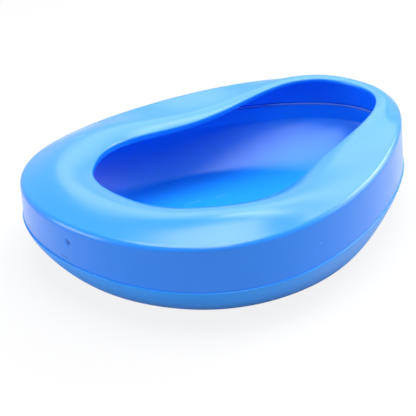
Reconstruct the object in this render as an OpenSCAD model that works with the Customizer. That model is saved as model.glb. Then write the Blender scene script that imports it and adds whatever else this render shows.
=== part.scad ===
// Bedpan made of two plastic mouldings, welded together along a lap seam.
//
// +X points along the length to the raised, narrow end, +Y across it, +Z up, in
// millimetres. The origin is the middle of the bounding box, on the surface that
// the pan stands on.
//
// Every section of the pan is drawn at one station of its outline. A station is an
// angle from 0 at the raised end, through 90 at one side, to 180 at the low end.

/* [Outline of the seat] */
// Half of the length of the seat, edge to edge
half_length = 191; // [175:1:205]
// Half of the width of the seat, edge to edge
half_width = 139; // [128:1:150]
// Shift of the sides toward the low end, which blunts the low end
blunt_end = 10.6; // [0:0.1:16]
// Extra width of the low half over the raised half
egg_shape = 8.4; // [0:0.1:14]

/* [Seat] */
// Width of the seat every 30 degrees, from the raised end to the low end
seat_width = [22, 23, 51.5, 56, 60, 60.5, 59]; // [20:0.5:80]
// Height of the seat's edge over the seam, every 45 degrees from the raised end
edge_height = [49.5, 47.2, 39, 38, 39]; // [30:0.1:60]
// Height of the lip's edge over the seam every 30 degrees, from the raised end
lip_height = [53, 53, 41, 37, 40, 41, 42]; // [30:0.5:62]
// How far the seat rises from the lip's edge to its crest, every 45 degrees
roll_rise = [1, 1, 6, 7, 4]; // [1:1:12]
// How far the crest lies from the lip's edge, every 45 degrees
roll_reach = [7, 10, 22, 24, 20]; // [6:1:26]
// Depth of the turned-down lip at the raised end, the side and the low end
lip_depth = [4, 6, 6]; // [3:0.5:10]
// Radius of the corner between the seat and its lip
lip_round = 1.8; // [1:0.1:3]
// Radius of the seat's outer edge
edge_radius = 5; // [3:0.5:8]

/* [Seam] */
// Height of the outer seam over the surface that the pan stands on
seam_height = 39; // [36:1:46]
// How far the skirt spreads from the edge to the seam, every 30 degrees
skirt_flare = [8, 5, 2.5, 4, 5, -2, -6]; // [-8:0.5:12]
// Height of the lower moulding's spigot inside the skirt
spigot_height = 19; // [10:1:24]
// How far the lower moulding stands proud of the skirt
shoulder_proud = 0.8; // [0.4:0.1:1.5]
// Size of the welded bead in the corner over the spigot
bead_size = 1.6; // [1:0.1:2.4]

/* [Bowl] */
// How far the flat base's edge lies inside the seam, every 30 degrees
base_inset = [59, 50, 26, 26, 43, 44, 38]; // [15:1:70]
// How far the floor's edge lies inside the base's edge
floor_corner = 4; // [2:0.5:8]
// Exponent of the bowl's section: 2 is an ellipse, and 1 is a straight slope
bowl_fullness = 1.35; // [1.2:0.05:2]

/* [Walls] */
// Thickness of the upper moulding
wall = 2.6; // [2.2:0.1:3.4]
// Thickness of the spigot
spigot_wall = 2.2; // [2:0.1:3]
// Thickness of the floor
floor_wall = 2.8; // [2.6:0.1:4]
// Gap between the skirt and the spigot inside it
lap_gap = 0.1; // [0.05:0.05:0.3]

/* [Hidden] */
plastic = [0.25, 0.55, 0.98];
bead_plastic = [0.4, 0.68, 1];
stations = 96;
lip_steps = 3;
roll_steps = 5;
seat_steps = 5;
edge_steps = 4;
bowl_steps = 10;
centre_shift = -blunt_end - (skirt_flare[0] + shoulder_proud) / 2;
inner_start = 4;
seat_bend = 1.7;
shoulder_round = 0.5;
tip_round = 1;
bead_hollow = 0.55;
angles = [for (i = [0:stations - 1]) i * 360 / stations];

function sum(v, i = 0) = i < len(v) ? v[i] + sum(v, i + 1) : 0;
function half_at_ends(i, last) = i == 0 || i == last ? 0.5 : 1;

// A smooth value at angle a that passes through the values v, which are spread
// evenly over the half turn from 0 to 180 degrees: a cosine series.
function spread(v, a) =
    let (last = len(v) - 1)
    sum([for (k = [0:last])
        half_at_ends(k, last) * 2 / last * cos(k * a)
        * sum([for (j = [0:last]) half_at_ends(j, last) * v[j] * cos(180 * j * k / last)])]);

// The seat's outer edge in plan: an ellipse with a blunt, broad low end.
function edge_point(a) = [
    centre_shift + half_length * cos(a) + blunt_end * cos(2 * a),
    half_width * sin(a) - egg_shape * sin(2 * a)
];

// The edge's direction at angle a turned a quarter turn outward, of length 1.
function outward(a) =
    let (
        along_x = -half_length * sin(a) - 2 * blunt_end * sin(2 * a),
        along_y = half_width * cos(a) - 2 * egg_shape * cos(2 * a),
        size = norm([along_x, along_y])
    )
    [along_y, -along_x] / size;

// A point at angle a, a distance out from the edge in plan, at height z.
function place(a, out, z) =
    let (p = edge_point(a) + out * outward(a))
    [p[0], p[1], z];

function skirt_out(a) = spread(skirt_flare, a);
function rim_z(a) = seam_height + spread(edge_height, a);
function crest_z(a) = seam_height + spread(lip_height, a) + spread(roll_rise, a);

// Share of the seat's fall from its crest to its edge, at the share q of the way out: it
// bends most near the crest, and is nearly straight toward the edge.
function seat_fall(q) = q * q * (seat_bend + (1 - seat_bend) * q);

// Skirt distance out at height z: straight from the seat's edge down to the seam.
function skirt_at(a, z) =
    let (top = rim_z(a) - edge_radius, share = (top - z) / (top - seam_height))
    skirt_out(a) * share;

// The seat's section at angle a, from the lip's bottom over the seat to the seam, and
// back inside. Each point is [distance out, height].
function seat_section(a) =
    let (
        width = spread(seat_width, a),
        reach = spread(roll_reach, a),
        rise = spread(roll_rise, a),
        crest = crest_z(a),
        rim = rim_z(a),
        lip = crest - rise,
        fall = atan(2 * rise / (reach - lip_round / 2)),
        roll_run = reach - lip_round * (1 - sin(fall)),
        slope = atan((3 - seat_bend) * (crest - rim) / (width - reach - edge_radius)),
        start_out = -edge_radius + edge_radius * sin(slope),
        start_z = rim - edge_radius + edge_radius * cos(slope),
        run = start_out + width - reach,
        inner_radius = edge_radius - wall,
        bottom = lip - spread(lip_depth, a)
    )
    concat(
        [for (i = [0:lip_steps])
            let (t = 90 - (90 - fall) * i / lip_steps)
            [-width + lip_round * (1 - sin(t)), lip + lip_round * (cos(t) - cos(fall))]],
        [for (i = [roll_steps - 1:-1:0])
            let (q = i / roll_steps)
            [-width + reach - roll_run * q, crest - rise * q * q]],
        [for (i = [1:seat_steps])
            let (q = i / seat_steps)
            [-width + reach + run * q, crest - (crest - start_z) * seat_fall(q)]],
        [for (i = [1:edge_steps])
            let (t = slope + (90 - slope) * i / edge_steps)
            [-edge_radius + edge_radius * sin(t), rim - edge_radius + edge_radius * cos(t)]],
        [[skirt_out(a), seam_height]],
        [[skirt_out(a) - wall, seam_height]],
        [for (i = [edge_steps:-1:1])
            let (t = slope + (90 - slope) * i / edge_steps)
            [-edge_radius + inner_radius * sin(t), rim - edge_radius + inner_radius * cos(t)]],
        [for (i = [seat_steps:-1:1])
            let (q = i / seat_steps)
            [-width + reach + run * q, crest - (crest - start_z) * seat_fall(q) - wall]],
        [for (i = [0:roll_steps])
            let (d = (reach - wall) * i / roll_steps)
            [-width + reach - d, crest - wall - rise * pow(d / roll_run, 2)]],
        [[-width + wall, bottom + tip_round]],
        [[-width + wall / 2, bottom]],
        [[-width, bottom + tip_round]]
    );

// Distance out of the spigot's outer face at height z.
function spigot_out(a, z) = skirt_at(a, z) - wall - lap_gap;

// The bowl's section at angle a, from the middle of the base out and up to the
// spigot's top, and back inside to the floor.
function bowl_section(a) =
    let (
        outer = skirt_out(a) + shoulder_proud,
        inset = spread(base_inset, a),
        inner = spigot_out(a, seam_height) - spigot_wall,
        top = seam_height + spigot_height,
        bend = 2 / bowl_fullness,
        below = seam_height - shoulder_round,
        start = seam_height + inner_start
    )
    concat(
        [for (i = [bowl_steps:-1:0])
            let (t = 90 * i / bowl_steps)
            [outer - inset * (1 - pow(cos(t), bend)), below * (1 - pow(sin(t), bend))]],
        [[outer - shoulder_round, seam_height]],
        [[spigot_out(a, seam_height), seam_height]],
        [[spigot_out(a, top), top]],
        [[spigot_out(a, top) - spigot_wall, top]],
        [for (i = [0:bowl_steps])
            let (t = 90 * i / bowl_steps)
            [inner - (inset + floor_corner + inner - outer) * (1 - pow(cos(t), bend)),
             start - (start - floor_wall) * pow(sin(t), bend)]]
    );

// The bead's section: a three-sided bead with a hollow face, in the corner between the
// spigot's top and the skirt.
function bead_section(a) =
    let (z = seam_height + spigot_height, foot = skirt_at(a, z) - wall - lap_gap / 2)
    [
        [foot, z],
        [skirt_at(a, z + bead_size) - wall - lap_gap / 2, z + bead_size],
        [foot - bead_size * bead_hollow, z + bead_size * bead_hollow],
        [foot - bead_size, z]
    ];

// Quads between the rings of neighbouring stations, for a section of size m.
function ring_faces(m, closed) = [
    for (i = [0:stations - 1], j = [0:m - (closed ? 1 : 2)])
        each let (
            p = i * m + j,
            q = i * m + (j + 1) % m,
            r = ((i + 1) % stations) * m + (j + 1) % m,
            s = ((i + 1) % stations) * m + j
        )
        [[p, q, r], [p, r, s]]
];

// A solid swept round the pan from a section that closes on itself.
module swept_ring(sections) {
    m = len(sections[0]);
    points = [for (i = [0:stations - 1]) each [for (s = sections[i]) place(angles[i], s[0], s[1])]];
    polyhedron(points = points, faces = ring_faces(m, true), convexity = 8);
}

// The same for a section whose two ends meet in a flat base and a flat floor.
module swept_vessel(sections) {
    m = len(sections[0]);
    points = [for (i = [0:stations - 1]) each [for (s = sections[i]) place(angles[i], s[0], s[1])]];
    base = [for (i = [0:stations - 1]) i * m];
    floor = [for (i = [stations - 1:-1:0]) i * m + m - 1];
    polyhedron(points = points, faces = concat(ring_faces(m, false), [base, floor]), convexity = 8);
}

module seat_shell() {
    color(plastic)
    swept_ring([for (a = angles) seat_section(a)]);
}

module bowl_shell() {
    color(plastic)
    swept_vessel([for (a = angles) bowl_section(a)]);
}

module weld_bead() {
    color(bead_plastic)
    swept_ring([for (a = angles) bead_section(a)]);
}

seat_shell();
bowl_shell();
weld_bead();
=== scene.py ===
# %% [markdown]
# # A welded plastic bedpan
#
# A bedpan of this kind is two injection mouldings. The upper one is the seat: a broad
# contoured ring with a skirt round the outside and a lip turned down round the
# opening. The lower one is the bowl, whose thin spigot slips inside the skirt. A bead
# of plastic is fused into the corner where they meet, so that the pan holds water.
#
# Nothing on it moves, so there is one body, and all three pieces ride on it.

# %% Load the model that was designed in CAD
import math

import bmesh
import bpy
import numpy as np
from mathutils import Matrix, Vector


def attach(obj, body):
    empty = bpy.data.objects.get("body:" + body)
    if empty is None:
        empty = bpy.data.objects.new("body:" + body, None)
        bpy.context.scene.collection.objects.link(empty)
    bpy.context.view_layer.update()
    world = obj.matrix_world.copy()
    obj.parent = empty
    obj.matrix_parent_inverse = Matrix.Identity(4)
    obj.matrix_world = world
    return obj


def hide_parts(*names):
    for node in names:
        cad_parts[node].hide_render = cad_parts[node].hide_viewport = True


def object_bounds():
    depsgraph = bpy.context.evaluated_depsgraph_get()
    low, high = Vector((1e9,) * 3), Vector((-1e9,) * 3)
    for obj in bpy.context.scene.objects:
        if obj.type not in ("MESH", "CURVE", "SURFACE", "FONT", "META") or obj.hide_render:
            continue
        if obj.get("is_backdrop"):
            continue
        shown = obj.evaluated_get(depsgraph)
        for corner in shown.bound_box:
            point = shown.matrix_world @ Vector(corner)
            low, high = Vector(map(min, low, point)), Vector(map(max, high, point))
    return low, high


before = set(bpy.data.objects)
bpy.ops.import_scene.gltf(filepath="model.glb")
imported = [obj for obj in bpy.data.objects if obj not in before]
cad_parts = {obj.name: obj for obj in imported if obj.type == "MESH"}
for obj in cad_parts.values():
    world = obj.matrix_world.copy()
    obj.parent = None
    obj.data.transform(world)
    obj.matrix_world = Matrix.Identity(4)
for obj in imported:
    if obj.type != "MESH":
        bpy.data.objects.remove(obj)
cad_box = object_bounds()
print("CAD nodes:", sorted(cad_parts))

# %% [markdown]
# ## The driving sizes
#
# The shape is the CAD model's own: one outline for the seat's edge, and everything
# else measured out or in from it. Each list holds values at equal steps round half of
# the pan, from the raised end (0 degrees) to the low end (180 degrees). The other half
# is its mirror image. They are in millimetres, as a moulder would write them, and MM
# turns them to Blender's metres. A place round the pan is called a station.

# %% The sizes of the pan, in millimetres
HALF_LENGTH = 191
HALF_WIDTH = 139
BLUNT_END = 10.6
EGG_SHAPE = 8.4
SEAT_WIDTH = [22, 23, 51.5, 56, 60, 60.5, 59]
EDGE_HEIGHT = [49.5, 47.2, 39, 38, 39]
LIP_HEIGHT = [53, 53, 41, 37, 40, 41, 42]
ROLL_RISE = [1, 1, 6, 7, 4]
ROLL_REACH = [7, 10, 22, 24, 20]
LIP_DEPTH = [4, 6, 6]
LIP_ROUND = 1.8
EDGE_RADIUS = 5
SEAT_BEND = 1.7
SEAM_HEIGHT = 39
SKIRT_FLARE = [8, 5, 2.5, 4, 5, -2, -6]
SPIGOT_HEIGHT = 19
SHOULDER_PROUD = 0.8
BEAD_SIZE = 1.6
BASE_INSET = [59, 50, 26, 26, 43, 44, 38]
FLOOR_CORNER = 4
BOWL_FULLNESS = 1.35
WALL = 2.6
SPIGOT_WALL = 2.2
FLOOR_WALL = 2.8
LAP_GAP = 0.1
BAND_HEIGHT = 4
SKIRT_ROUND = 0.08
SHOULDER_ROUND = 0.5
CENTRE_SHIFT = -BLUNT_END - (SKIRT_FLARE[0] + SHOULDER_PROUD) / 2
MM = 0.001
print("seat edge", 2 * HALF_LENGTH, "mm long, walls", WALL, "mm")

# %% [markdown]
# ## Curves from a few measured values
#
# A maker checks such a moulding with a handful of widths and heights. A cosine series
# runs smoothly through them, has no corners, and is symmetric, so the two sides of the
# pan match. That is smoother than a spline through points, and needs fewer of them.


# %% The outline and the values that go round it
def spread(values, angle):
    """Smooth value at each angle that passes through the given values at equal steps
    from 0 to 180 degrees: the sum of c[k] cos(k angle), with c from a cosine transform."""
    values = np.asarray(values, float)
    last = len(values) - 1
    weight = np.ones(last + 1)
    weight[[0, -1]] = 0.5
    k = np.arange(last + 1)
    table = np.cos(np.pi * np.outer(k, k) / last)
    c = 2 / last * weight * (table @ (weight * values))
    return np.cos(np.multiply.outer(angle, k)) @ c


def edge_plan(angle):
    """Seat edge in plan: x = shift + half length cos t + blunt end cos 2t, and
    y = half width sin t - egg shape sin 2t."""
    x = CENTRE_SHIFT + HALF_LENGTH * np.cos(angle) + BLUNT_END * np.cos(2 * angle)
    y = HALF_WIDTH * np.sin(angle) - EGG_SHAPE * np.sin(2 * angle)
    return np.stack([x, y])


def outward(angle):
    """Unit direction square to the edge, pointing out: the tangent turned by 90 degrees."""
    dx = -HALF_LENGTH * np.sin(angle) - 2 * BLUNT_END * np.sin(2 * angle)
    dy = HALF_WIDTH * np.cos(angle) - 2 * EGG_SHAPE * np.cos(2 * angle)
    return np.stack([dy, -dx]) / np.hypot(dx, dy)


def stations(count, finer_at=(), finer_span=2.5, finer_count=30):
    """Angles round the pan: count of them evenly spaced, with extra ones within
    finer_span degrees of each small mark."""
    rings = [np.linspace(0, 360, count, endpoint=False)]
    rings += [np.linspace(m - finer_span, m + finer_span, finer_count) for m in finer_at]
    return np.radians(np.unique(np.round(np.concatenate(rings) % 360, 4)))


raised, side, low = spread(SEAT_WIDTH, np.radians([0, 90, 180])).round(1)
print("seat width in mm: raised end", raised, "side", side, "low end", low)

# %% [markdown]
# ## From a section to a closed surface
#
# Each moulding is a section carried round the outline. A section is a grid: one row
# per point of the section, one column per station. Its points are given as the
# distance out from the edge and the height. `loft` turns such a grid into a mesh. A
# screw or array modifier could do this too, but not round an outline whose section
# changes all the way. The rows run in the order that makes the faces point outward,
# and the printed volume is then positive.


# %% Mesh helpers
def wrapped_faces(rows, cols, closed):
    """Quads between neighbouring rows and columns. The columns always close on
    themselves, and the rows do where the section is closed."""
    r = np.arange(rows if closed else rows - 1)[:, None]
    c = np.arange(cols)[None, :]
    r2, c2 = (r + 1) % rows, (c + 1) % cols
    quads = np.stack([r * cols + c, r2 * cols + c, r2 * cols + c2, r * cols + c2], -1)
    return quads.reshape(-1, 4)


def loft(name, angle, out, z, closed):
    """Mesh of the section grid (out, z), rows by stations, in millimetres. An open
    section is closed by a middle point at its first row and one at its last row."""
    rows, cols = out.shape
    plan = edge_plan(angle)[:, None, :] + outward(angle)[:, None, :] * out[None]
    points = np.stack([plan[0], plan[1], z], -1).reshape(-1, 3)
    faces = wrapped_faces(rows, cols, closed).tolist()
    if not closed:
        first, last = len(points), len(points) + 1
        ends = points.reshape(rows, cols, 3)[[0, -1]].mean(1)
        points = np.concatenate([points, ends])
        c = np.arange(cols)
        n = (c + 1) % cols
        low = np.stack([np.full(cols, first), c, n], -1)
        high = np.stack([np.full(cols, last), (rows - 1) * cols + n, (rows - 1) * cols + c], -1)
        faces += low.tolist() + high.tolist()
    mesh = bpy.data.meshes.new(name)
    mesh.from_pydata((points * MM).tolist(), [], faces)
    mesh.polygons.foreach_set("use_smooth", np.ones(len(mesh.polygons), bool))
    mesh.update()
    piece = bpy.data.objects.new(name, mesh)
    bpy.context.scene.collection.objects.link(piece)
    solid = bmesh.new()
    solid.from_mesh(mesh)
    print(name, len(faces), "faces,", round(solid.calc_volume(signed=True) * 1e6, 1), "cm3")
    solid.free()
    return piece


def rows_of(*stretches):
    """Stacks the stretches of a section, each a pair (out, z) of rows by stations."""
    grids = [np.broadcast_arrays(*stretch) for stretch in stretches]
    return np.concatenate([g[0] for g in grids]), np.concatenate([g[1] for g in grids])


def steps(rows, first=0.0, last=1.0, skip_first=False):
    """A column of evenly spaced values, one for each row of a stretch. skip_first leaves
    out the first value, which the stretch before already holds."""
    values = np.linspace(first, last, rows + skip_first)[:, None]
    return values[1:] if skip_first else values


# %% [markdown]
# ## The upper moulding
#
# Going along its section: the turn at the lip's edge, the roll up to the crest, the
# seat falling gently to its outer edge, the rounded edge, the skirt down to the seam
# and its foot, back along the inside a wall's thickness in, and round the lip's tip. It
# could be carved from a block with modifiers, but a moulding has one kind of section
# all round, so a formula for the section is closer to how the mould is cut.


# %% The skirt
def skirt_out(angle):
    """How far the skirt's foot lies out from the edge, in plan."""
    return spread(SKIRT_FLARE, angle)


def rim_height(angle):
    """Height of the seat's outer edge: the seam's height plus the edge's over it."""
    return SEAM_HEIGHT + spread(EDGE_HEIGHT, angle)


def skirt_at(angle, z):
    """Distance out of the skirt's face at height z: a straight line from edge to seam."""
    top = rim_height(angle) - EDGE_RADIUS
    return skirt_out(angle) * (top - z) / (top - SEAM_HEIGHT)


print("outer edge:", rim_height(np.radians([0, 90, 180])).round(1), "mm high from end to end")

# %% [markdown]
# Each stretch of the section gets its own number of rows: many where light runs over a
# curve that is seen, and few on the hidden inside.


# %% The seat's section
SEAT_ROWS = dict(turn=10, roll=19, top=21, edge=12, foot=4, inside=8, corner=6, under=13,
                 under_roll=12, tip=9)


def seat_fall(q):
    """Share of the fall from crest to edge, at the share q of the way out: a square
    plus a cube, q^2 (b + (1 - b) q), which bends most near the crest."""
    return q**2 * (SEAT_BEND + (1 - SEAT_BEND) * q)


def seat_section(angle, skirt_share):
    """The closed section as (out, z). The roll is a parabola, and the seat falls from
    the same crest. The lip's corner and the outer edge are arcs that meet their slopes.
    skirt_share gives the skirt's rows, 0 at the edge and 1 at the seam."""
    width = spread(SEAT_WIDTH, angle)
    rise = spread(ROLL_RISE, angle)
    reach = spread(ROLL_REACH, angle)
    lip = SEAM_HEIGHT + spread(LIP_HEIGHT, angle)
    crest = lip + rise
    rim = rim_height(angle)
    centre = rim - EDGE_RADIUS
    slope = np.arctan((3 - SEAT_BEND) * (crest - rim) / (width - reach - EDGE_RADIUS))
    start_out = -EDGE_RADIUS + EDGE_RADIUS * np.sin(slope)
    start_z = centre + EDGE_RADIUS * np.cos(slope)
    run = start_out + width - reach
    flare = skirt_out(angle)

    fall = np.arctan(2 * rise / (reach - LIP_ROUND / 2))
    roll_run = reach - LIP_ROUND * (1 - np.sin(fall))
    bottom = lip - spread(LIP_DEPTH, angle)

    t = np.pi / 2 - (np.pi / 2 - fall) * steps(SEAT_ROWS["turn"])
    turn = (-width + LIP_ROUND * (1 - np.sin(t)), lip + LIP_ROUND * (np.cos(t) - np.cos(fall)))
    q = steps(SEAT_ROWS["roll"], 1, 0, skip_first=True)
    roll = (-width + reach - roll_run * q, crest - rise * q**2)
    q = steps(SEAT_ROWS["top"], skip_first=True)
    seat = (-width + reach + run * q, crest - (crest - start_z) * seat_fall(q))
    t = slope + (np.pi / 2 - slope) * steps(SEAT_ROWS["edge"], skip_first=True)
    edge = (-EDGE_RADIUS + EDGE_RADIUS * np.sin(t), centre + EDGE_RADIUS * np.cos(t))
    k = skirt_share[:, None]
    skirt = (flare * k, centre - (centre - SEAM_HEIGHT - SKIRT_ROUND) * k)
    t = steps(SEAT_ROWS["foot"], skip_first=True) * np.pi / 2
    foot = (flare - SKIRT_ROUND * (1 - np.cos(t)), SEAM_HEIGHT + SKIRT_ROUND * (1 - np.sin(t)))
    k = steps(SEAT_ROWS["inside"])
    inside = ((flare - WALL) * (1 - k) - WALL * k, SEAM_HEIGHT + (centre - SEAM_HEIGHT) * k)
    inner_radius = EDGE_RADIUS - WALL
    t = slope + (np.pi / 2 - slope) * steps(SEAT_ROWS["corner"], 1, 0, skip_first=True)
    corner = (-EDGE_RADIUS + inner_radius * np.sin(t), centre + inner_radius * np.cos(t))
    q = steps(SEAT_ROWS["under"], 1, 0, skip_first=True)
    under = (-width + reach + run * q, crest - (crest - start_z) * seat_fall(q) - WALL)
    d = (reach - WALL) * steps(SEAT_ROWS["under_roll"])
    under_roll = (-width + reach - d, crest - WALL - rise * (d / roll_run) ** 2)
    t = steps(SEAT_ROWS["tip"]) * np.pi
    tip = (-width + WALL / 2 * (1 + np.cos(t)), bottom + WALL / 2 * (1 - np.sin(t)))
    return rows_of(turn, roll, seat, edge, skirt, foot, inside, corner, under, under_roll, tip)


# %% [markdown]
# Two small marks sit on the skirt. The oval dimple at the low end is where the
# plastic entered the mould, and the pip on one side is a speck in the mould wall. Both
# are real dents or bumps in the surface, so the mesh is finer there and pushed in or
# out by a smooth bell shape. A mark's angle is in degrees, its share is how far down
# the skirt it sits, and its depth in millimetres is negative where it stands proud.

# %% The two marks in the skirt
GATE_MARK = dict(angle=182.0, share=0.37, half_width=1.9, half_height=3.0, depth=1.5)
MOULD_PIP = dict(angle=261.4, share=0.5, half_width=0.7, half_height=0.7, depth=-0.5)


def bell(angle, share, mark):
    """A bell round a mark on the skirt: exp(-d^2), where d is the distance from the
    mark's middle in its own half sizes."""
    at = np.radians(mark["angle"])
    here = edge_plan(np.array([at]))[:, 0]
    along = np.hypot(*(edge_plan(angle) - here[:, None])) / mark["half_width"]
    down = (share - mark["share"]) * (rim_height(at) - EDGE_RADIUS - SEAM_HEIGHT)
    return np.exp(-(along[None, :] ** 2) - (down[:, None] / mark["half_height"]) ** 2)


def finer_rows(count, marks, span=0.14, finer_count=16):
    """Rows down the skirt, with extra ones at the height of each mark."""
    rows = [np.linspace(0, 1, count)[1:]]
    rows += [np.linspace(m["share"] - span, m["share"] + span, finer_count) for m in marks]
    return np.unique(np.round(np.concatenate(rows), 4))


# %% Build the upper moulding
SEAT_STATIONS = 500
SKIRT_ROWS = 24
dents = (GATE_MARK, MOULD_PIP)
share = finer_rows(SKIRT_ROWS, dents)
seat_angle = stations(SEAT_STATIONS, [m["angle"] for m in dents])
out, height = seat_section(seat_angle, share)
first_row = sum(SEAT_ROWS[stretch] for stretch in ("turn", "roll", "top", "edge"))
for mark in dents:
    out[first_row:first_row + len(share)] -= mark["depth"] * bell(seat_angle, share, mark)
seat_piece = loft("seat_moulding", seat_angle, out, height, closed=True)

# %% [markdown]
# ## The lower moulding
#
# From the middle of its flat base: out along the base, up the bowl's curved flank to
# the shoulder that the skirt rests on, up the spigot inside the skirt, over its brim,
# down the band inside, down the bowl and across the floor. The shoulder stands a
# little proud of the skirt, and shows as a thin line. The flank and the inside follow
# the same kind of curve, a few millimetres apart, as the two halves of a mould do, so
# one formula for the curve serves both.


# %% The bowl's section
BOWL_ROWS = dict(flank=48, shoulder=5, outside=6, brim=4, inside=11, bowl=59)


def bowl_curve(t):
    """Share of the way in and down at t from 0 to 1: a superellipse quarter, which
    leaves the seam upright and reaches the floor flat."""
    bend = 2 / BOWL_FULLNESS
    c, s = np.cos(t * np.pi / 2), np.sin(t * np.pi / 2)
    return 1 - c**bend, s**bend


def bowl_section(angle):
    """The open section as (out, z), from the base's edge round to the floor's edge."""
    outer = skirt_out(angle) + SHOULDER_PROUD
    inset = spread(BASE_INSET, angle)
    inner = skirt_out(angle) - WALL - LAP_GAP - SPIGOT_WALL
    top = SEAM_HEIGHT + SPIGOT_HEIGHT
    band = SEAM_HEIGHT + BAND_HEIGHT
    below = SEAM_HEIGHT - SHOULDER_ROUND

    in_share, down_share = bowl_curve(steps(BOWL_ROWS["flank"], 1, 0))
    flank = (outer - inset * in_share, below - below * down_share)
    t = steps(BOWL_ROWS["shoulder"], skip_first=True) * np.pi / 2
    shoulder = (outer - SHOULDER_ROUND * (1 - np.cos(t)), below + SHOULDER_ROUND * np.sin(t))
    z = SEAM_HEIGHT + SPIGOT_HEIGHT * steps(BOWL_ROWS["outside"])
    outside = (skirt_at(angle, z) - WALL - LAP_GAP, z + 0 * angle)
    t = steps(BOWL_ROWS["brim"], skip_first=True)
    brim = (skirt_at(angle, top) - WALL - LAP_GAP - SPIGOT_WALL * t, top + 0 * angle * t)
    z = top + (band - top) * steps(BOWL_ROWS["inside"], skip_first=True)
    share = (z - band) / (top - band)
    face = skirt_at(angle, top) - WALL - LAP_GAP - SPIGOT_WALL
    inside = (inner + (face - inner) * share, z + 0 * angle)
    in_share, down_share = bowl_curve(steps(BOWL_ROWS["bowl"], skip_first=True))
    run = inset + FLOOR_CORNER + inner - outer
    bowl = (inner - run * in_share, band - (band - FLOOR_WALL) * down_share)
    return rows_of(flank, shoulder, outside, brim, inside, bowl)


# %% Build the lower moulding
BOWL_STATIONS = 540
bowl_angle = stations(BOWL_STATIONS)
out, height = bowl_section(bowl_angle)
bowl_piece = loft("bowl_moulding", bowl_angle, out[::-1], height[::-1], closed=False)

# %% [markdown]
# ## The weld bead
#
# A bead of melted plastic runs in the corner over the spigot's top. It is a thin cord
# of nearly round section, with the slight unevenness of a hand-held tip. A curve with a
# bevel could draw it, but the same loft keeps it exactly in its corner.


# %% Build the bead
BEAD_SIDES = 12
SWELLS = ((0.06, 23, 0), (0.04, 41, 1))


def bead_section(angle):
    """A round bead whose lowest side sits on the spigot's top: centre plus radius
    times (cos, -sin). The radius swells and thins a little round the pan, by a sum of
    sines, each with its share, its count round the pan and its start."""
    radius = BEAD_SIZE / 2 * (1 + sum(a * np.sin(n * angle + p) for a, n, p in SWELLS))
    z = SEAM_HEIGHT + SPIGOT_HEIGHT + BEAD_SIZE / 2
    centre = skirt_at(angle, z) - WALL - LAP_GAP / 2 - BEAD_SIZE / 2
    t = np.linspace(0, 2 * np.pi, BEAD_SIDES, endpoint=False)[:, None]
    return centre + radius * np.cos(t), z - radius * np.sin(t)


out, height = bead_section(bowl_angle)
bead_piece = loft("bead_of_weld", bowl_angle, out, height, closed=True)

# %% [markdown]
# ## Materials
#
# The pan is moulded polypropylene, coloured right through. Its surface is a copy of a
# polished steel mould's, so the eye gets a waxy gloss: clear highlights with soft
# edges, and a deeper, purer blue in the corners that light bounces into.
#
# A material is a small tree of nodes, so two helpers come first. One turns a colour
# written as it looks on a screen into the linear value that Blender computes with. The
# other adds any node with its settings and links in one line.


# %% Colour and node helpers
def colour(hex_code):
    """sRGB hex to linear RGBA, by the sRGB curve."""
    c = np.array([int(hex_code[i:i + 2], 16) for i in (1, 3, 5)]) / 255
    linear = np.where(c <= 0.04045, c / 12.92, ((c + 0.055) / 1.055) ** 2.4)
    return (*linear.tolist(), 1.0)


def add(tree, kind, settings=None, **inputs):
    """Adds one node. settings are its own values, and inputs are its sockets, each a
    value or another node's output. A double underscore picks a socket by number."""
    node = tree.nodes.new(kind)
    for key, value in (settings or {}).items():
        setattr(node, key, value)
    for key, value in inputs.items():
        pick = int(key[2:]) if key.startswith("__") else key.replace("_", " ")
        socket = node.inputs[pick]
        if isinstance(value, bpy.types.NodeSocket):
            tree.links.new(value, socket)
        else:
            socket.default_value = value
    return node


def blank_material(name):
    """A material with an empty tree, and the tree."""
    material = bpy.data.materials.new(name)
    material.use_nodes = True
    material.node_tree.nodes.clear()
    return material, material.node_tree


# %% [markdown]
# ## Marks of moulding and use, and a painted shade
#
# A pan that has been on a ward carries small marks: pale streaks on the floor and a
# scuff on the seat, where the plastic was rubbed and whitened, and darker ones over the
# seam and in a scratch. The dark oval over the gate's dimple is painted shade: the
# shade that falls in the dent, put into the colour. All are far too shallow to need
# geometry. They could be painted, but each is only a soft-edged oval, so it is an
# ellipsoid in space that tints whatever surface passes through it.


# %% The marks: middle and half sizes in millimetres, and turn in degrees
def on_skirt(degrees, z):
    """Point of the skirt's face, in millimetres, at this station and height."""
    angle = np.radians(degrees)
    x, y = edge_plan(angle) + outward(angle) * skirt_at(angle, z)
    return x, y, z


LIGHT_MARKS = (
    ((5.5, 59, 3), (13, 1.0, 4), -14.6),
    ((32, 50, 3), (10.5, 0.9, 4), -3.9),
    ((-89.5, 103.5, 80), (9, 1.1, 14), -11.0),
    (on_skirt(MOULD_PIP["angle"], 56), (1.1, 1.1, 1.1), 0.0),
)
DARK_MARKS_AND_GATE_SHADE = (
    # the first dark mark is painted shade: the shade that falls in the gate's dimple
    (on_skirt(GATE_MARK["angle"], 60.4), (4, 2.6, 3.8), 0.0),
    (on_skirt(178.6, 43.7), (4, 8.6, 0.8), 0.0),
    (on_skirt(294.6, 60), (0.7, 3, 2.9), 0.0),
)
MARK_CORE = 0.3
MARK_AND_SHADE_TONES = ((LIGHT_MARKS, 0.45, "#7CC4FF"), (DARK_MARKS_AND_GATE_SHADE, 0.8, "#0A4FB0"))
print(len(LIGHT_MARKS), "light marks and", len(DARK_MARKS_AND_GATE_SHADE), "dark marks")


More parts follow.
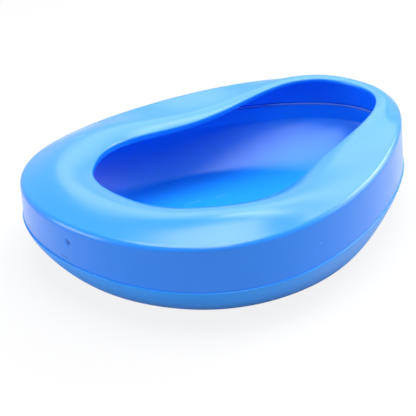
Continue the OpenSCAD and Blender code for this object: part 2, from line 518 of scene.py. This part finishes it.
def inside_marks(tree, place, marks_mm):
    """1 inside any of the marks and 0 outside. A mark's share falls smoothly as the
    distance from its middle, in its own half sizes, goes from MARK_CORE to 1."""
    total = 0.0
    for middle, half_sizes, turn in marks_mm:
        own = add(tree, "ShaderNodeMapping", {"vector_type": "TEXTURE"}, Vector=place,
                  Location=[v * MM for v in middle],
                  Rotation=(0, 0, math.radians(turn)),
                  Scale=[v * MM for v in half_sizes])
        away = add(tree, "ShaderNodeVectorMath", {"operation": "LENGTH"}, __0=own.outputs[0])
        soft = add(tree, "ShaderNodeMapRange", {"interpolation_type": "SMOOTHSTEP"},
                   Value=away.outputs["Value"], From_Min=MARK_CORE, From_Max=1.0,
                   To_Min=1.0, To_Max=0.0)
        total = add(tree, "ShaderNodeMath", {"operation": "MAXIMUM"},
                    __0=soft.outputs[0], __1=total).outputs[0]
    return total


# %% [markdown]
# ## The plastic
#
# All three finishes are the same plastic, so one function makes them. Its index of
# refraction is polypropylene's, 1.49. Three things break up the flat colour: the
# pigment is a trace uneven over some centimetres, the marks tint it, and the surface
# has a very fine flow grain. One dark tint, at the gate's dimple, is painted shade.
# Real grain is a few tenths of a millimetre across, too fine to show at this size, so
# it is drawn 2.5 mm across and kept very shallow.
#
# The upper moulding is the glossiest. The bowl's blue is painted a little paler, as
# painted light that stands in for the light on its inside wall, and it is more satin, as
# plastic is that is scrubbed often. The bead was melted and pulled, and is dull. Its pale
# colour is a painted highlight, so that it shows as a light line in the shaded corner.

# %% Moulded polypropylene
IOR = 1.49
CLOUD_SIZE = 60
GRAIN_SIZE = 2.5
GRAIN_DEPTH = 0.05
GRAIN_STRENGTH = 0.2


def moulded_polypropylene(name, deep, light, roughness, shine=0.5):
    """Polypropylene whose colour drifts between deep and light. shine is the strength
    of its reflections, 0.5 for the full strength that its index of refraction gives."""
    material, tree = blank_material(name)
    place = add(tree, "ShaderNodeTexCoord").outputs["Object"]
    cloud = add(tree, "ShaderNodeTexNoise", Vector=place, Scale=1 / (CLOUD_SIZE * MM),
                Detail=1.0)
    tint = add(tree, "ShaderNodeMix", {"data_type": "RGBA"}, __0=cloud.outputs["Fac"],
               __6=colour(deep), __7=colour(light))
    # the dark tone holds real marks and the painted shade in the gate's dimple
    for marks_mm, strength, tone in MARK_AND_SHADE_TONES:
        inside = inside_marks(tree, place, marks_mm)
        share = add(tree, "ShaderNodeMath", {"operation": "MULTIPLY"}, __0=inside,
                    __1=strength)
        tint = add(tree, "ShaderNodeMix", {"data_type": "RGBA"}, __0=share.outputs[0],
                   __6=tint.outputs[2], __7=colour(tone))
    grain = add(tree, "ShaderNodeTexNoise", Vector=place, Scale=1 / (GRAIN_SIZE * MM),
                Detail=1.0)
    bump = add(tree, "ShaderNodeBump", Height=grain.outputs["Fac"],
               Strength=GRAIN_STRENGTH, Distance=GRAIN_DEPTH * MM)
    shader = add(tree, "ShaderNodeBsdfPrincipled", Base_Color=tint.outputs[2],
                 Roughness=roughness, Normal=bump.outputs[0], IOR=IOR,
                 Specular_IOR_Level=shine)
    add(tree, "ShaderNodeOutputMaterial", Surface=shader.outputs[0])
    print(name, "with", len(tree.nodes), "nodes")
    return material


shell_plastic = moulded_polypropylene(
    "moulded_polypropylene_blue", "#1381F4", "#1786F6", roughness=0.23)
# the bowl's paler blue is painted light, standing in for the light on its inside wall
bowl_plastic_painted_lighter = moulded_polypropylene(
    "moulded_polypropylene_blue_painted_lighter", "#1C92F5", "#2096F7", roughness=0.3, shine=0.34)
# the bead's pale colour is a painted highlight, so it shows as a light line in the shade
bead_plastic_painted_highlight = moulded_polypropylene(
    "fused_polypropylene_bead_painted_pale", "#8CC2FF", "#9CCCFF", roughness=0.5)

# %% [markdown]
# Each piece hides the CAD solid that it stands for, which stays behind for collision,
# and rides on the pan's one body.

# %% Give each piece its finish, and let it stand for its CAD node
for piece, node, slot, material in (
    (seat_piece, "seat_shell", "blue_polypropylene", shell_plastic),
    (bowl_piece, "bowl_shell", "blue_polypropylene", bowl_plastic_painted_lighter),
    (bead_piece, "weld_bead", "weld_polypropylene", bead_plastic_painted_highlight),
):
    piece.data.materials.append(material)
    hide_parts(node)
    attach(piece, "root")
    print(piece.name, "stands for", node)

# %% [markdown]
# ## The table
#
# The pan stands on a plain white table. Where the camera sees it, most of its white is
# its own, so that it looks pale without more light on the pan, and the rest is paint
# that keeps the pan's shadow. In the gloss of the pan only a tenth is its own white,
# because the skirt would otherwise mirror a bright sheet.

# %% The white table
TABLE_HALF = 4.0
TABLE_GAP = 0.0005
SHARE_SEEN = 0.86
SHARE_MIRRORED = 0.1


def table_material():
    """Pale paint mixed with its own white: share = seen * SHARE_SEEN + glossy *
    SHARE_MIRRORED, where seen is 1 for a camera ray, or one through clear material."""
    material, tree = blank_material("white_table_laminate")
    paint = add(tree, "ShaderNodeBsdfDiffuse", Color=colour("#CCCCCC"))
    glow = add(tree, "ShaderNodeEmission", Color=(1, 1, 1, 1), Strength=1.0)
    path = add(tree, "ShaderNodeLightPath")
    seen = add(tree, "ShaderNodeMath", {"operation": "MAXIMUM"},
               __0=path.outputs["Is Camera Ray"], __1=path.outputs["Is Transmission Ray"])
    mirrored = add(tree, "ShaderNodeMath", {"operation": "MULTIPLY"},
                   __0=path.outputs["Is Glossy Ray"], __1=SHARE_MIRRORED)
    share = add(tree, "ShaderNodeMath", {"operation": "MULTIPLY_ADD"},
                __0=seen.outputs[0], __1=SHARE_SEEN, __2=mirrored.outputs[0])
    mix = add(tree, "ShaderNodeMixShader", Fac=share.outputs[0], __1=paint.outputs[0],
              __2=glow.outputs[0])
    add(tree, "ShaderNodeOutputMaterial", Surface=mix.outputs[0])
    return material


corners = [(x * TABLE_HALF, y * TABLE_HALF, 0) for x, y in ((-1, -1), (1, -1), (1, 1), (-1, 1))]
mesh = bpy.data.meshes.new("table")
mesh.from_pydata(corners, [], [(0, 1, 2, 3)])
mesh.materials.append(table_material())
table = bpy.data.objects.new("table", mesh)
bpy.context.scene.collection.objects.link(table)
table.location.z = cad_box[0][2] - TABLE_GAP
table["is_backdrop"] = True
print("table", 2 * TABLE_HALF, "m wide,", TABLE_GAP / MM, "mm under the pan")

# %% [markdown]
# ## The surroundings
#
# A white room shows behind the table and in the plastic's gloss. Its light on the pan
# is kept low, so that the softboxes shape the shadows and not the room.

# %% The white surroundings
ROOM_LIGHT = 0.08
world = bpy.data.worlds.new("white_studio")
bpy.context.scene.world = world
world.use_nodes = True
tree = world.node_tree
tree.nodes.clear()
path = add(tree, "ShaderNodeLightPath")
soft = add(tree, "ShaderNodeBackground", Color=(1, 1, 1, 1), Strength=ROOM_LIGHT)
white = add(tree, "ShaderNodeBackground", Color=(1, 1, 1, 1), Strength=1.0)
seen = add(tree, "ShaderNodeMath", {"operation": "MAXIMUM"},
           __0=path.outputs["Is Camera Ray"], __1=path.outputs["Is Glossy Ray"])
seen = add(tree, "ShaderNodeMath", {"operation": "MAXIMUM"},
           __0=seen.outputs[0], __1=path.outputs["Is Transmission Ray"])
mix = add(tree, "ShaderNodeMixShader", Fac=seen.outputs[0], __1=soft.outputs[0],
          __2=white.outputs[0])
add(tree, "ShaderNodeOutputWorld", Surface=mix.outputs[0])
print("room light", ROOM_LIGHT)

# %% [markdown]
# ## The softboxes
#
# A glossy curved shape is lit by what it mirrors, so each highlight has its own soft
# lamp. A large one hangs overhead and gives most of the light. Four stand beyond the
# raised end, where the seat and the roll mirror them toward the camera: back, behind
# and low draw soft lines there, and right lifts the side toward -Y. One to the left
# lights the skirt and the inside wall that face it, and a small one in front lifts the
# near side. All of them face the middle of the pan.

# %% Place the softboxes
LAMP_AIM = Vector((0, 0, 0.05))
# name: place in metres, width and height in metres, power in watts
SOFTBOXES = {
    "softbox_over": ((-0.04, -0.04, 1.52), (1.2, 1.2), 30),
    "softbox_back": ((0.86, 0.84, 1.02), (1.2, 0.65), 5),
    "softbox_right": ((1.25, -0.6, 0.6), (0.9, 0.9), 8),
    "softbox_low": ((1.225, -0.09, 0.91), (0.6, 0.5), 7),
    "softbox_behind": ((0.8, 0.32, 1.27), (0.6, 0.22), 3.4),
    "softbox_left": ((-1.18, 0.68, 0.42), (0.8, 0.7), 8),
    "softbox_front": ((-0.36, -0.8, 1.27), (0.5, 0.5), 4),
}


def softbox(name, place, size, power):
    """A rectangular area lamp at place, turned to face LAMP_AIM."""
    lamp = bpy.data.lights.new(name, "AREA")
    lamp.shape = "RECTANGLE"
    lamp.size, lamp.size_y = size
    lamp.energy = power
    light = bpy.data.objects.new(name, lamp)
    bpy.context.scene.collection.objects.link(light)
    light.location = place
    light.rotation_euler = (LAMP_AIM - Vector(place)).to_track_quat("-Z", "Y").to_euler()


for name, (place, size, power) in SOFTBOXES.items():
    softbox(name, place, size, power)
    print(name, power, "W")

# %% [markdown]
# ## The camera
#
# It stands a metre away, off the corner between the low end and the side toward -Y, and
# looks down by a little over a quarter of a right angle. A long lens keeps the far end
# from shrinking too much. Its frame is built from three directions: ahead from the turn
# and the tilt, and right and up from a level line rolled by a small angle.

# %% The camera
TURN = math.radians(44.84)
TILT = math.radians(26.36)
ROLL = math.radians(-0.9)
DISTANCE = 1.0
LENS, SENSOR = 98.1, 36
CAMERA_AIM = Vector((-0.0290, 0.0057, 0.0273))
flat = math.cos(TILT)
ahead = Vector((math.sin(TURN) * flat, math.cos(TURN) * flat, -math.sin(TILT)))
level = Vector((math.cos(TURN), -math.sin(TURN), 0))
above = level.cross(ahead)
right = math.cos(ROLL) * level + math.sin(ROLL) * above
up = -math.sin(ROLL) * level + math.cos(ROLL) * above
lens = bpy.data.cameras.new("camera")
lens.lens, lens.sensor_width = LENS, SENSOR
camera = bpy.data.objects.new("camera", lens)
bpy.context.scene.collection.objects.link(camera)
turned = Matrix((right, up, -ahead)).transposed().to_4x4()
camera.matrix_world = Matrix.Translation(CAMERA_AIM - DISTANCE * ahead) @ turned
bpy.context.scene.camera = camera
bpy.context.scene.view_settings.view_transform = "Standard"
print("camera at", [round(v, 3) for v in camera.matrix_world.translation], "m")

# %% [markdown]
# ## The last check
#
# The finished pan's box should be the CAD model's, because looks don't change sizes.

# %% Note the sizes and finish
final_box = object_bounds()
for label, box in (("CAD", cad_box), ("finished", final_box)):
    print(label, "size in mm:", np.round(np.ptp(np.array(box), axis=0) / MM, 1))
